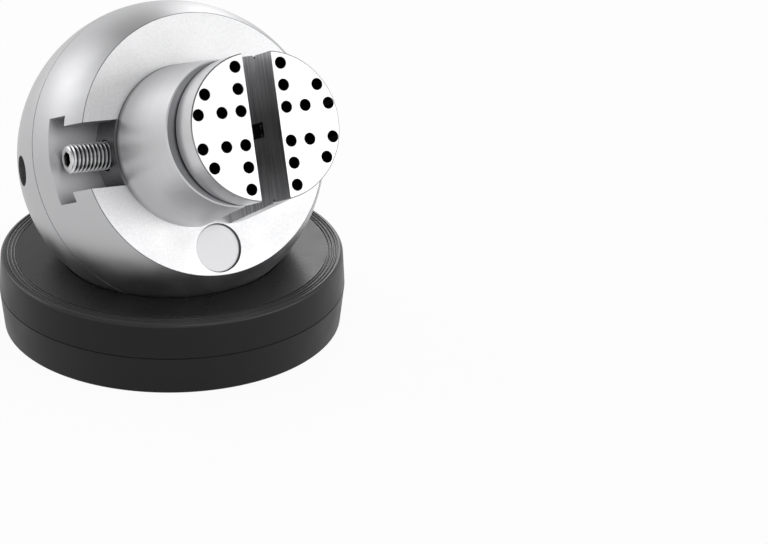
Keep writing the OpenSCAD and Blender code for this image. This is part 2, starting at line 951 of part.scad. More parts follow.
base_ring();
lower_ball();
bottom_plug();
thrust_lower_washer();
thrust_cage();
thrust_balls();
thrust_upper_washer();
bearing_outer_race();
bearing_circlip();
bearing_cage();
bearing_balls();
bearing_inner_race();
lock_washer();
spindle_nut();
spindle();
spindle_screws();
brake_shoe();
brake_screw();
upper_ball();
screw_yoke();
yoke_screws();
lead_screw();
left_jaw();
left_plate();
left_dowels();
left_set_screw();
right_jaw();
right_plate();
right_dowels();
right_set_screw();
lock_button();
lock_spring();
lock_key_pin();
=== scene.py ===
from math import asin, cos, pi, radians, sin, sqrt

import bpy
from mathutils import Matrix, Vector


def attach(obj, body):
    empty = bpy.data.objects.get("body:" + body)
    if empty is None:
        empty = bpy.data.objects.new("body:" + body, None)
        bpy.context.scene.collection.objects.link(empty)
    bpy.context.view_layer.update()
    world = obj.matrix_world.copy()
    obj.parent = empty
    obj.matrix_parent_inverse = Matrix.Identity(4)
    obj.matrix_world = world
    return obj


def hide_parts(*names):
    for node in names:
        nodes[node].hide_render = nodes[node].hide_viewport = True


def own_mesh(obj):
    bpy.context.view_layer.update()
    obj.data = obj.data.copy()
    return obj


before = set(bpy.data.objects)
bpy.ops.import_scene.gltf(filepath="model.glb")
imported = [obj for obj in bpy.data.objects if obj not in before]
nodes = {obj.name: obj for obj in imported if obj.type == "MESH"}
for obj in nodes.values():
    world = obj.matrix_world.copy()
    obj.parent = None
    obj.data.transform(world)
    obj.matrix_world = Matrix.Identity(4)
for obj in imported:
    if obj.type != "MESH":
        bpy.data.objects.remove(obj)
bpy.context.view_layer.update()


# The room: a pale table under a white backdrop. Broad soft lamps stand behind on the left, in front
# on the right and above, and small ones light the ball's left side, its right edge and the plates.
def linear(colour, alpha=1.0):
    """Linear colour of an sRGB hex value."""
    parts = [int(colour[i:i + 2], 16) / 255 for i in (0, 2, 4)]
    return [c / 12.92 if c < 0.04045 else ((c + 0.055) / 1.055) ** 2.4 for c in parts] + [alpha]


def add(tree, kind, settings=None, links=None):
    """Adds a node, sets its properties and sockets, and links nodes or their sockets to it."""
    made = tree.nodes.new(kind)
    for name, value in (settings or {}).items():
        if isinstance(name, str) and hasattr(made, name):
            setattr(made, name, value)
        else:
            made.inputs[name].default_value = value
    for name, source in (links or {}).items():
        tree.links.new(getattr(source, "outputs", [source])[0], made.inputs[name])
    return made


def shown_as_background(tree):
    """1 for the rays that show the backdrop itself: the camera's, and those off metal."""
    path = add(tree, "ShaderNodeLightPath")
    seen = add(tree, "ShaderNodeMath", {"operation": "MAXIMUM"},
               {0: path.outputs["Is Camera Ray"], 1: path.outputs["Is Glossy Ray"]})
    return add(tree, "ShaderNodeMath", {"operation": "MAXIMUM"},
               {0: seen, 1: path.outputs["Is Transmission Ray"]})


ambient = 0.42
backdrop = bpy.data.worlds.new("white_backdrop")
bpy.context.scene.world = backdrop
backdrop.use_nodes = True
tree = backdrop.node_tree
tree.nodes.clear()
room_light = add(tree, "ShaderNodeBackground", {"Color": linear("FFFFFF"), "Strength": ambient})
way = add(tree, "ShaderNodeTexCoord")
height = add(tree, "ShaderNodeSeparateXYZ", {}, {0: way.outputs["Generated"]})
wall_top, ceiling_low = 0.25, 0.7
ceiling_tone = 0.28
up = add(tree, "ShaderNodeMapRange",
         {"From Min": wall_top, "From Max": ceiling_low, "To Min": 1.0, "To Max": ceiling_tone},
         {"Value": height.outputs[2]})
white = add(tree, "ShaderNodeBackground", {"Color": linear("FFFFFF")}, {"Strength": up})
either = add(tree, "ShaderNodeMixShader", {},
             {0: shown_as_background(tree), 1: room_light, 2: white})
add(tree, "ShaderNodeOutputWorld", {}, {"Surface": either})

# Matt white paint, which glows towards the camera so that it shows white and keeps the shadow.
table_side = 12.0
table_glow = 0.94
table_glow_on_metal = 0.62
bpy.ops.object.select_all(action="DESELECT")
bpy.ops.mesh.primitive_plane_add(size=table_side)
table = bpy.context.active_object
table.name = "table"
matt_white = bpy.data.materials.new("matt_white_paint")
matt_white.use_nodes = True
tree = matt_white.node_tree
tree.nodes.clear()
paint = add(tree, "ShaderNodeBsdfDiffuse", {"Color": linear("F4F4F4")})
glow = add(tree, "ShaderNodeEmission", {"Color": linear("FFFFFF"), "Strength": 1.0})
path = add(tree, "ShaderNodeLightPath")
on_metal = add(tree, "ShaderNodeMath", {"operation": "MULTIPLY", 1: table_glow_on_metal},
               {0: path.outputs["Is Glossy Ray"]})
share = add(tree, "ShaderNodeMath", {"operation": "MULTIPLY_ADD", 1: table_glow},
            {0: path.outputs["Is Camera Ray"], 2: on_metal})
paint_and_glow = add(tree, "ShaderNodeMixShader", {}, {0: share, 1: paint, 2: glow})
add(tree, "ShaderNodeOutputMaterial", {}, {"Surface": paint_and_glow})
table.data.materials.append(matt_white)


lamps_face = Vector((0, 0, 0.08))


def soft_lamp(name, direction, distance, width, height, watts):
    """A flat lamp that faces the ball from the given direction."""
    shape = bpy.data.lights.new(name, "AREA")
    shape.shape = "RECTANGLE"
    shape.size, shape.size_y = width, height
    shape.energy = watts
    lamp = bpy.data.objects.new(name, shape)
    bpy.context.scene.collection.objects.link(lamp)
    way = Vector(direction).normalized()
    lamp.location = lamps_face + way * distance
    lamp.rotation_euler = way.to_track_quat("Z", "Y").to_euler()


soft_lamp("lamp_behind", (-0.50, 0.75, 0.50), 2.2, 1.6, 1.2, 9)
soft_lamp("lamp_key", (-0.66, 0.60, 0.457), 2.2, 0.5, 0.5, 0.6)
soft_lamp("lamp_front", (0.70, -0.90, 0.16), 2.3, 2.0, 1.3, 14)
soft_lamp("lamp_above", (0.0, -0.60, 0.80), 2.0, 1.2, 1.2, 6.5)
soft_lamp("lamp_right", (0.58, 0.69, 0.44), 0.9, 0.28, 0.5, 1.1)
soft_lamp("lamp_plates", (0.47, -0.785, 0.398), 2.0, 0.7, 0.7, 0.8)

# The photograph's camera: a long lens, half left of the front and well above the table.
photo_width = 768
focal_pixels = 3662.2
camera_right = Vector((0.8558, -0.5170, 0.0144))
camera_up = Vector((0.2153, 0.3814, 0.8990))
camera_back = Vector((-0.4703, -0.7663, 0.4378))
camera_place = Vector((-0.6645, -1.2572, 0.7133))
camera_data = bpy.data.cameras.new("camera")
camera_data.sensor_width = 36
camera_data.lens = focal_pixels / photo_width * camera_data.sensor_width
camera = bpy.data.objects.new("camera", camera_data)
bpy.context.scene.collection.objects.link(camera)
turn = Matrix((camera_right, camera_up, camera_back)).transposed().to_4x4()
camera.matrix_world = Matrix.Translation(camera_place) @ turn
bpy.context.scene.camera = camera
bpy.context.scene.view_settings.view_transform = "Standard"

# The base: one moulding of black rubber with a round socket for the ball, rounded beads between
# four fine grooves at its rim, a parting line where the mould's halves met, and three grooves
# underneath that grip the bench. It isn't fastened: the ball's weight holds it.
foot_r, waist_r, rim_side_r = 0.0725, 0.07427, 0.0735
waist_height, base_height = 0.0168, 0.0321
foot_bevel, rim_round = 0.0004, 0.0016
tread_radii = (0.036, 0.048, 0.060)
tread_half, tread_depth = 0.0015, 0.0015
parting_half, parting_depth = 0.0002, 0.0003
groove_radii = [rim_side_r - step for step in (0.0022, 0.0036, 0.0052, 0.0065)]
groove_half, groove_depth = 0.000225, 0.00045
bead_drop = 0.00035
groove_edge = 0.0001
ball_centre = Vector((0, 0, 0.0767))
socket_r = 0.0653
well_r, well_floor = 0.025, 0.005
round_steps = 8
base_sides = 192

outline = []
for r in tread_radii:
    outline += [(r - tread_half, 0), (r - tread_half, tread_depth),
                (r + tread_half, tread_depth), (r + tread_half, 0)]
outline += [(foot_r - foot_bevel, 0), (foot_r, foot_bevel),
            (waist_r, waist_height - parting_half),
            (waist_r - parting_depth, waist_height - parting_half),
            (waist_r - parting_depth, waist_height + parting_half),
            (waist_r, waist_height + parting_half)]
for step in range(round_steps + 1):
    angle = pi / 2 * step / round_steps
    outline.append((rim_side_r - rim_round * (1 - cos(angle)),
                    base_height - rim_round * (1 - sin(angle))))
outline += [(groove_radii[0] + groove_half + groove_edge, base_height),
            (groove_radii[0] + groove_half, base_height - groove_edge)]
for outer, inner in zip(groove_radii, groove_radii[1:]):
    outline += [(outer + groove_half, base_height - groove_depth),
                (outer - groove_half, base_height - groove_depth)]
    bead_middle, bead_half = (outer + inner) / 2, (outer - inner) / 2 - groove_half
    for step in range(round_steps + 1):
        angle = pi * step / round_steps
        outline.append((bead_middle + bead_half * cos(angle),
                        base_height - bead_drop * (1 - sin(angle))))
outline += [(groove_radii[-1] + groove_half, base_height - groove_depth),
            (groove_radii[-1] - groove_half, base_height - groove_depth),
            (groove_radii[-1] - groove_half, base_height - groove_edge),
            (groove_radii[-1] - groove_half - groove_edge, base_height)]
lip_r = sqrt(socket_r ** 2 - (ball_centre.z - base_height) ** 2)
lip_angle, well_angle = asin(lip_r / socket_r), asin(well_r / socket_r)
outline.append((lip_r + foot_bevel, base_height))
for step in range(1, 2 * round_steps + 1):
    angle = lip_angle + (well_angle - lip_angle) * step / (2 * round_steps)
    outline.append((socket_r * sin(angle), ball_centre.z - socket_r * cos(angle)))
outline.append((well_r, well_floor))

bpy.ops.object.select_all(action="DESELECT")
bpy.ops.mesh.primitive_circle_add(vertices=base_sides, radius=outline[0][0], fill_type="NGON")
base = bpy.context.active_object
base.name = "rubber_base"
bpy.ops.object.mode_set(mode="EDIT")
for (r, z), (next_r, next_z) in zip(outline, outline[1:]):
    bpy.ops.mesh.extrude_region_move(TRANSFORM_OT_translate={"value": (0, 0, next_z - z)})
    bpy.ops.transform.resize(value=(next_r / r, next_r / r, 1), center_override=(0, 0, 0))
bpy.ops.mesh.select_all(action="SELECT")
bpy.ops.mesh.normals_make_consistent(inside=False)
bpy.ops.object.mode_set(mode="OBJECT")
bpy.ops.object.shade_smooth_by_angle(angle=radians(30))
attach(base, "base")
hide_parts("base_ring")


def finish_of(name, base, metallic, roughness, **constants):
    """A new material with its Principled shader; the constants are its other sockets."""
    material = bpy.data.materials.new(name)
    material.use_nodes = True
    tree = material.node_tree
    tree.nodes.clear()
    shader = add(tree, "ShaderNodeBsdfPrincipled",
                 {"Base Color": linear(base), "Metallic": metallic, "Roughness": roughness})
    for socket, value in constants.items():
        shader.inputs[socket.replace("_", " ")].default_value = value
    add(tree, "ShaderNodeOutputMaterial", {}, {"Surface": shader})
    return material, tree, shader


# Moulded nitrile rubber: near black, with the fine grain that a blasted mould leaves, a little
# glossier on the top, which hands rub, and most of all on the beads at the rim. The top is painted
# greyer as a painted sheen, and the beads lighter still as a painted highlight.
noise_low, noise_high = 0.3, 0.7
mould_grain = 0.7
patch_size = 18
rubbed_and_sheen_from, rubbed_and_sheen_to = 30.6, 31.8
rubbed_smoother = -0.1
beads_from, beads_to = 66.5, 66.9
beads_smoother = -0.08
rubber, tree, shader = finish_of("moulded_black_rubber", "0E0E0F", 0.0, 0.28, IOR=1.5,
                                Specular_IOR_Level=0.28)
place = add(tree, "ShaderNodeTexCoord")
mm = add(tree, "ShaderNodeMapping", {"Scale": (1000, 1000, 1000)},
         {"Vector": place.outputs["Object"]})
grain = add(tree, "ShaderNodeTexNoise", {"Scale": 1 / mould_grain, "Detail": 3}, {"Vector": mm})
patches = add(tree, "ShaderNodeTexNoise", {"Scale": 1 / patch_size, "Detail": 2}, {"Vector": mm})
parts = add(tree, "ShaderNodeSeparateXYZ", {}, {0: mm})
on_top = add(tree, "ShaderNodeMapRange", {"From Min": rubbed_and_sheen_from, "From Max": rubbed_and_sheen_to},
             {"Value": parts.outputs[2]})
flank = add(tree, "ShaderNodeMix",
            {"data_type": "RGBA", 6: linear("0A0A0B"), 7: linear("111112")}, {0: patches})
# Painted sheen: the top's colour is lighter than the flank's, standing in for light falling on it.
painted_top_sheen = add(tree, "ShaderNodeMix",
             {"data_type": "RGBA", 6: linear("212122"), 7: linear("2D2D2E")}, {0: patches})
tone = add(tree, "ShaderNodeMix", {"data_type": "RGBA"},
           {0: on_top, 6: flank.outputs[2], 7: painted_top_sheen.outputs[2]})
gloss = add(tree, "ShaderNodeMapRange",
            {"From Min": noise_low, "From Max": noise_high, "To Min": 0.34, "To Max": 0.43},
            {"Value": patches})
gloss = add(tree, "ShaderNodeMath", {"operation": "MULTIPLY_ADD", 1: rubbed_smoother},
            {0: on_top, 2: gloss})
flat = add(tree, "ShaderNodeVectorMath", {"operation": "MULTIPLY", 1: (1, 1, 0)}, {0: mm})
reach = add(tree, "ShaderNodeVectorMath", {"operation": "LENGTH"}, {0: flat}).outputs["Value"]
at_rim = add(tree, "ShaderNodeMapRange", {"From Min": beads_from, "From Max": beads_to},
             {"Value": reach})
on_beads = add(tree, "ShaderNodeMath", {"operation": "MULTIPLY"}, {0: at_rim, 1: on_top})
gloss = add(tree, "ShaderNodeMath", {"operation": "MULTIPLY_ADD", 1: beads_smoother},
            {0: on_beads, 2: gloss})
# Painted highlight: the beads at the rim are painted lighter still.
tone = add(tree, "ShaderNodeMix", {"data_type": "RGBA", 7: linear("3C3C3D")},
           {0: on_beads, 6: tone.outputs[2]})
bump = add(tree, "ShaderNodeBump", {"Strength": 0.25, "Distance": 0.00006}, {"Height": grain})
tree.links.new(tone.outputs[2], shader.inputs["Base Color"])
tree.links.new(gloss.outputs[0], shader.inputs["Roughness"])
tree.links.new(bump.outputs[0], shader.inputs["Normal"])
base.data.materials.clear()
base.data.materials.append(rubber)

# The ball: cast steel turned round, blasted with fine beads and nickel plated, in two parts that
# meet at the seam. The upper one holds the jaws and turns on the spindle in the lower one.
head_tilt = radians(61.7)
head_turn = radians(-6.3)
head_rotation = Matrix.Rotation(head_tilt, 3, "X") @ Matrix.Rotation(head_turn, 3, "Z")
head_place = Matrix.Translation(ball_centre) @ head_rotation.to_4x4()


def head_millimetres(tree):
    """Millimetres in the head's own directions: X along the jaw screw, Z out of the flat face."""
    place = add(tree, "ShaderNodeTexCoord")
    return add(tree, "ShaderNodeMapping",
               {"vector_type": "TEXTURE", "Location": ball_centre,
                "Rotation": head_rotation.to_euler(), "Scale": (0.001, 0.001, 0.001)},
               {"Vector": place.outputs["Object"]})


def wear(node_names, material):
    """Puts the material on the CAD nodes' own slots."""
    for name in node_names:
        for spot in nodes[name].material_slots:
            spot.material = material


# Blasted nickel: an even satin with a faint sparkle from the bead marks, paler and mottled on the
# flat face, with a painted dark line of shade where the face's edge is broken, and duller where the
# slot is milled.
sharp_low, sharp_high = 0.35, 0.65
bead_mark = 0.6
cloud_size = 14
mottle_size = 1.0
face_height, face_skin = 34.2, 0.05
rim_r = 55.3
edge_line = 0.22
neck_half_width, neck_middle, neck_half_height = 13.8, 25.2, 8.8
undercut_half_width, undercut_middle, undercut_half_height = 18.05, 21.0, 4.55
blasted, tree, shader = finish_of("bead_blasted_nickel", "C4C4C5", 1.0, 0.44)
mm = head_millimetres(tree)
parts = add(tree, "ShaderNodeSeparateXYZ", {}, {0: mm})
flat = add(tree, "ShaderNodeVectorMath", {"operation": "MULTIPLY", 1: (1, 1, 0)}, {0: mm})
reach = add(tree, "ShaderNodeVectorMath", {"operation": "LENGTH"}, {0: flat}).outputs["Value"]
beads = add(tree, "ShaderNodeTexNoise", {"Scale": 1 / bead_mark, "Detail": 4}, {"Vector": mm})
clouds = add(tree, "ShaderNodeTexNoise", {"Scale": 1 / cloud_size, "Detail": 3}, {"Vector": mm})
mottle = add(tree, "ShaderNodeTexNoise", {"Scale": 1 / mottle_size, "Detail": 4}, {"Vector": mm})
rough = add(tree, "ShaderNodeMapRange",
            {"From Min": noise_low, "From Max": noise_high, "To Min": 0.4, "To Max": 0.48},
            {"Value": clouds})
bump = add(tree, "ShaderNodeBump", {"Strength": 0.35, "Distance": 0.00003}, {"Height": beads})
round_tone = add(tree, "ShaderNodeMix",
                 {"data_type": "RGBA", 6: linear("BFBFC1"), 7: linear("C9C9CA")}, {0: clouds})
speckle = add(tree, "ShaderNodeMapRange", {"From Min": sharp_low, "From Max": sharp_high},
              {"Value": mottle})
face_tone = add(tree, "ShaderNodeMix",
                {"data_type": "RGBA", 6: linear("D8D8D9"), 7: linear("E0E0E1")}, {0: speckle})
on_face = add(tree, "ShaderNodeMath", {"operation": "COMPARE", 1: face_height, 2: face_skin},
              {0: parts.outputs[2]})
tone = add(tree, "ShaderNodeMix", {"data_type": "RGBA"},
           {0: on_face, 6: round_tone.outputs[2], 7: face_tone.outputs[2]})
for half_width, middle, half_height in (
        (neck_half_width, neck_middle, neck_half_height),
        (undercut_half_width, undercut_middle, undercut_half_height)):
    in_width = add(tree, "ShaderNodeMath", {"operation": "COMPARE", 1: 0, 2: half_width},
                   {0: parts.outputs[1]})
    in_height = add(tree, "ShaderNodeMath", {"operation": "COMPARE", 1: middle, 2: half_height},
                    {0: parts.outputs[2]})
    milled = add(tree, "ShaderNodeMath", {"operation": "MULTIPLY"}, {0: in_width, 1: in_height})
    tone = add(tree, "ShaderNodeMix", {"data_type": "RGBA", 7: linear("C8C8CA")},
               {0: milled, 6: tone.outputs[2]})
# Painted shade: a dark line on the face's broken edge, standing in for the shade on its chamfer.
rim_high = add(tree, "ShaderNodeMath", {"operation": "COMPARE", 1: face_height, 2: edge_line},
               {0: parts.outputs[2]})
rim_wide = add(tree, "ShaderNodeMath", {"operation": "COMPARE", 1: rim_r, 2: edge_line},
               {0: reach})
rim_shade = add(tree, "ShaderNodeMath", {"operation": "MULTIPLY"}, {0: rim_high, 1: rim_wide})
tone = add(tree, "ShaderNodeMix", {"data_type": "RGBA", 7: linear("7C7C7F")},
           {0: rim_shade, 6: tone.outputs[2]})
tree.links.new(tone.outputs[2], shader.inputs["Base Color"])
tree.links.new(rough.outputs[0], shader.inputs["Roughness"])
tree.links.new(bump.outputs[0], shader.inputs["Normal"])
wear(["lower_ball", "upper_ball", "bottom_plug"], blasted)

# The fastenings inside: hardened steel screws, nut, washer and circlip with a black oxide coat,
# which looks charcoal, slightly uneven, with a dull shine.
oxide_spot = 1.5
oxide, tree, shader = finish_of("black_oxide_steel", "55565A", 1.0, 0.4)
mm = head_millimetres(tree)
spots = add(tree, "ShaderNodeTexNoise", {"Scale": 1 / oxide_spot, "Detail": 4}, {"Vector": mm})
tone = add(tree, "ShaderNodeMix",
           {"data_type": "RGBA", 6: linear("4A4B4F"), 7: linear("626367")}, {0: spots})
rough = add(tree, "ShaderNodeMapRange",
            {"From Min": noise_low, "From Max": noise_high, "To Min": 0.34, "To Max": 0.46},
            {"Value": spots})
tree.links.new(tone.outputs[2], shader.inputs["Base Color"])
tree.links.new(rough.outputs[0], shader.inputs["Roughness"])
wear(["yoke_screws", "spindle_screws", "bearing_circlip", "lock_washer", "spindle_nut",
      "left_set_screw", "right_set_screw", "brake_screw", "lock_spring"], oxide)

# The spindle, the bearings' rings and balls, the dowels and the yoke: hardened steel, ground and
# polished, so it is bright with faint rings from the stone.
stone_mark = (30, 30, 0.4)
polished, tree, shader = finish_of("polished_bearing_steel", "D2D2D0", 1.0, 0.16)
mm = head_millimetres(tree)
along = add(tree, "ShaderNodeMapping", {"Scale": [1 / s for s in stone_mark]}, {"Vector": mm})
rings = add(tree, "ShaderNodeTexNoise", {"Scale": 1, "Detail": 2}, {"Vector": along})
rough = add(tree, "ShaderNodeMapRange",
            {"From Min": noise_low, "From Max": noise_high, "To Min": 0.12, "To Max": 0.22},
            {"Value": rings})
tree.links.new(rough.outputs[0], shader.inputs["Roughness"])
wear(["spindle", "thrust_lower_washer", "thrust_upper_washer", "thrust_balls",
      "bearing_outer_race", "bearing_inner_race", "bearing_balls", "left_dowels", "right_dowels",
      "lock_key_pin", "screw_yoke"], polished)

# The bearings' cages and the brake shoe: brass turned on a lathe, yellow with fine tool rings.
brass_mark = (20, 20, 0.5)
brass, tree, shader = finish_of("turned_brass", "C8A55C", 1.0, 0.28)
mm = head_millimetres(tree)
along = add(tree, "ShaderNodeMapping", {"Scale": [1 / s for s in brass_mark]}, {"Vector": mm})
rings = add(tree, "ShaderNodeTexNoise", {"Scale": 1, "Detail": 2}, {"Vector": along})
tone = add(tree, "ShaderNodeMix",
           {"data_type": "RGBA", 6: linear("BC9A52"), 7: linear("D1AE66")}, {0: rings})
rough = add(tree, "ShaderNodeMapRange",
            {"From Min": noise_low, "From Max": noise_high, "To Min": 0.22, "To Max": 0.34},
            {"Value": rings})
tree.links.new(tone.outputs[2], shader.inputs["Base Color"])
tree.links.new(rough.outputs[0], shader.inputs["Roughness"])
wear(["thrust_cage", "bearing_cage", "brake_shoe"], brass)

# The jaw screw: bright steel, rolled with a right-hand thread on its left half and a left-hand one
# on its right half, with a plain neck in the yoke and a hexagon socket in each chamfered end.
thread_r = 0.006
thread_pitch = 0.00175
thread_root_r = 0.00493
neck_r = 0.004
neck_half = 0.0051
screw_half = 0.05847
screw_chamfer = 0.001
screw_axis_z = 0.0246
socket_across = 0.006
socket_depth = 0.007
flank_slope = 0.577
steps_in_turn = 36
overlap = 0.001
neck_overlap = 0.0002
skim = 0.00001
weld = 1e-6


def only(piece):
    """Leaves this piece alone selected and active."""
    bpy.ops.object.select_all(action="DESELECT")
    piece.select_set(True)
    bpy.context.view_layer.objects.active = piece


def apply_modifier(piece, kind, **settings):
    """Adds a modifier and applies it to the piece's mesh."""
    only(piece)
    modifier = piece.modifiers.new(kind.lower(), kind)
    for name, value in settings.items():
        setattr(modifier, name, value)
    bpy.ops.object.modifier_apply(modifier=modifier.name)


def cylinder_along_x(start, end, radius, sides=72):
    """A round or many-sided bar along X."""
    bpy.ops.object.select_all(action="DESELECT")
    bpy.ops.mesh.primitive_cylinder_add(vertices=sides, radius=radius, depth=end - start,
                                        location=((start + end) / 2, 0, 0),
                                        rotation=(0, pi / 2, 0))
    bpy.ops.object.transform_apply(location=True, rotation=True, scale=True)
    return bpy.context.active_object


def threaded_half():
    """The half on +X: a blank cut to the thread's form, with its socket."""
    flank = (thread_r - thread_root_r) * flank_slope
    crest = thread_pitch / 8
    root = thread_pitch - crest - 2 * flank
    depth = thread_r - thread_root_r
    bpy.ops.object.select_all(action="DESELECT")
    bpy.ops.mesh.primitive_plane_add(size=thread_pitch,
                                     location=(neck_half - 2 * thread_pitch, 0, thread_root_r))
    bpy.ops.object.transform_apply(location=True, rotation=True, scale=True)
    thread = bpy.context.active_object
    bpy.ops.object.mode_set(mode="EDIT")
    bpy.ops.mesh.select_all(action="SELECT")
    bpy.ops.mesh.merge(type="CENTER")
    for along, out in ((root, 0), (flank, depth), (crest, 0), (flank, -depth)):
        bpy.ops.mesh.extrude_vertices_move(TRANSFORM_OT_translate={"value": (along, 0, out)})
    bpy.ops.object.mode_set(mode="OBJECT")
    turns = int((screw_half - neck_half) / thread_pitch) + 4
    apply_modifier(thread, "SCREW", axis="X", screw_offset=thread_pitch, iterations=turns,
                   steps=steps_in_turn, render_steps=steps_in_turn, use_merge_vertices=True,
                   merge_threshold=weld, use_normal_calculate=True)
    bpy.ops.object.mode_set(mode="EDIT")
    bpy.ops.mesh.select_all(action="SELECT")
    bpy.ops.mesh.remove_doubles(threshold=weld)
    for cut, outer in ((neck_half, False), (screw_half, True)):
        bpy.ops.mesh.select_all(action="SELECT")
        bpy.ops.mesh.bisect(plane_co=(cut, 0, 0), plane_no=(1, 0, 0), use_fill=True,
                            clear_inner=not outer, clear_outer=outer)
    bpy.ops.mesh.select_all(action="SELECT")
    bpy.ops.mesh.normals_make_consistent(inside=False)
    bpy.ops.object.mode_set(mode="OBJECT")
    blank = cylinder_along_x(neck_half - overlap, screw_half, thread_r + skim)
    bpy.ops.object.mode_set(mode="EDIT")
    bpy.ops.mesh.select_all(action="DESELECT")
    bpy.ops.object.mode_set(mode="OBJECT")
    for edge in blank.data.edges:
        edge.select = all(blank.data.vertices[v].co.x > screw_half - weld for v in edge.vertices)
    bpy.ops.object.mode_set(mode="EDIT")
    bpy.ops.mesh.bevel(offset=screw_chamfer, segments=1)
    bpy.ops.object.mode_set(mode="OBJECT")
    apply_modifier(thread, "BOOLEAN", operation="INTERSECT", solver="EXACT", object=blank)
    socket = cylinder_along_x(screw_half - socket_depth, screw_half + overlap,
                              socket_across / sqrt(3), 6)
    apply_modifier(thread, "BOOLEAN", operation="DIFFERENCE", solver="EXACT", object=socket)
    bpy.data.objects.remove(blank)
    bpy.data.objects.remove(socket)
    return thread


right_half = threaded_half()
left_half = right_half.copy()
left_half.data = right_half.data.copy()
bpy.context.scene.collection.objects.link(left_half)
only(left_half)
bpy.ops.object.mode_set(mode="EDIT")
bpy.ops.mesh.select_all(action="SELECT")
bpy.ops.transform.resize(value=(-1, 1, 1), center_override=(0, 0, 0))
bpy.ops.mesh.flip_normals()
bpy.ops.object.mode_set(mode="OBJECT")
jaw_screw = cylinder_along_x(-neck_half - neck_overlap, neck_half + neck_overlap, neck_r)
left_half.select_set(True)
right_half.select_set(True)
bpy.ops.object.join()
jaw_screw.name = "jaw_screw"
jaw_screw.data.transform(Matrix.Translation((0, 0, screw_axis_z)))
jaw_screw.data.transform(head_place)
bpy.ops.object.shade_smooth_by_angle(angle=radians(25))
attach(jaw_screw, "jaw_screw")
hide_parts("lead_screw")

# Rolled bright steel: the crests and the chamfered end shine, and the thread's roots are painted
# dark as painted shade.
oil_size = 6
roll_mark = (0.5, 6, 6)
root_shade_r, root_shade_end_r = 5.0, 5.7
threaded_to = (screw_half - screw_chamfer) * 1000
rolled, tree, shader = finish_of("rolled_bright_steel", "E0E0E1", 1.0, 0.3)
mm = head_millimetres(tree)
parts = add(tree, "ShaderNodeSeparateXYZ", {}, {0: mm})
away = add(tree, "ShaderNodeMath", {"operation": "ABSOLUTE"}, {0: parts.outputs[0]})
oil = add(tree, "ShaderNodeTexNoise", {"Scale": 1 / oil_size, "Detail": 3}, {"Vector": mm})
across = add(tree, "ShaderNodeMapping", {"Scale": [1 / s for s in roll_mark]}, {"Vector": mm})
marks = add(tree, "ShaderNodeTexNoise", {"Scale": 1, "Detail": 2}, {"Vector": across})
on_axis = add(tree, "ShaderNodeVectorMath",
              {"operation": "SUBTRACT", 1: (0, 0, screw_axis_z * 1000)}, {0: mm})
off_axis = add(tree, "ShaderNodeVectorMath", {"operation": "MULTIPLY", 1: (0, 1, 1)},
               {0: on_axis})
radius = add(tree, "ShaderNodeVectorMath", {"operation": "LENGTH"}, {0: off_axis})
# Painted shade: the thread's roots are darkened towards the axis, where shade falls between the
# crests.
deep = add(tree, "ShaderNodeMapRange",
           {"From Min": root_shade_r, "From Max": root_shade_end_r, "To Min": 1.0, "To Max": 0.0},
           {"Value": radius.outputs["Value"]})
on_thread = add(tree, "ShaderNodeMath", {"operation": "LESS_THAN", 1: threaded_to}, {0: away})
root_shade = add(tree, "ShaderNodeMath", {"operation": "MULTIPLY"}, {0: deep, 1: on_thread})
steel = add(tree, "ShaderNodeMix",
            {"data_type": "RGBA", 6: linear("DADADB"), 7: linear("E8E8E9")}, {0: oil})
tone = add(tree, "ShaderNodeMix", {"data_type": "RGBA", 7: linear("505053")},
           {0: root_shade, 6: steel.outputs[2]})
rough = add(tree, "ShaderNodeMapRange",
            {"From Min": noise_low, "From Max": noise_high, "To Min": 0.27, "To Max": 0.35},
            {"Value": marks})
tree.links.new(tone.outputs[2], shader.inputs["Base Color"])
tree.links.new(rough.outputs[0], shader.inputs["Roughness"])
jaw_screw.data.materials.clear()
jaw_screw.data.materials.append(rolled)

# The jaws: steel turned to one cone, sawn in half and ground on the inner faces, with feet milled
# to the T-slot. They slide in it, driven by the jaw screw.
# Turned steel: a satin cone with faint rings and saw lines on the inner faces, with painted shade:
# a painted shadow low on the cone where it meets the ball, strongest on one side, a near black
# notch, and darker feet in the slot and a darker top under the plate.
tool_mark = (60, 60, 0.9)
streak_size = (9, 9, 3)
saw_line = (40, 40, 0.7)
inner_face = 6.6
notch_middle, notch_r2 = 6.5, 10.0
notch_height, notch_half_height = 72, 5.8
cone_low, cone_high, cone_edge = 34.2, 77.3, 0.15
shadow_start, shadow_edge, shadow_end = 34.3, 34.4, 38.6
shadow_way = (-0.77, 0.64, 0)
shadow_near, shadow_far = 6, 28
shadow_least = 0.15
turned, tree, shader = finish_of("turned_steel", "C2C2C3", 1.0, 0.42)
mm = head_millimetres(tree)
parts = add(tree, "ShaderNodeSeparateXYZ", {}, {0: mm})
x, y, z = parts.outputs
away = add(tree, "ShaderNodeMath", {"operation": "ABSOLUTE"}, {0: x})
along = add(tree, "ShaderNodeMapping", {"Scale": [1 / s for s in tool_mark]}, {"Vector": mm})
rings = add(tree, "ShaderNodeTexNoise", {"Scale": 1, "Detail": 3}, {"Vector": along})
along = add(tree, "ShaderNodeMapping", {"Scale": [1 / s for s in streak_size]}, {"Vector": mm})
streaks = add(tree, "ShaderNodeTexNoise", {"Scale": 1, "Detail": 3}, {"Vector": along})
along = add(tree, "ShaderNodeMapping", {"Scale": [1 / s for s in saw_line]}, {"Vector": mm})
lines = add(tree, "ShaderNodeTexNoise", {"Scale": 1, "Detail": 3}, {"Vector": along})
clear_lines = add(tree, "ShaderNodeMapRange", {"From Min": sharp_low, "From Max": sharp_high},
                  {"Value": lines})
wall = add(tree, "ShaderNodeMix",
           {"data_type": "RGBA", 6: linear("A4A4A6"), 7: linear("E0E0E1")}, {0: clear_lines})
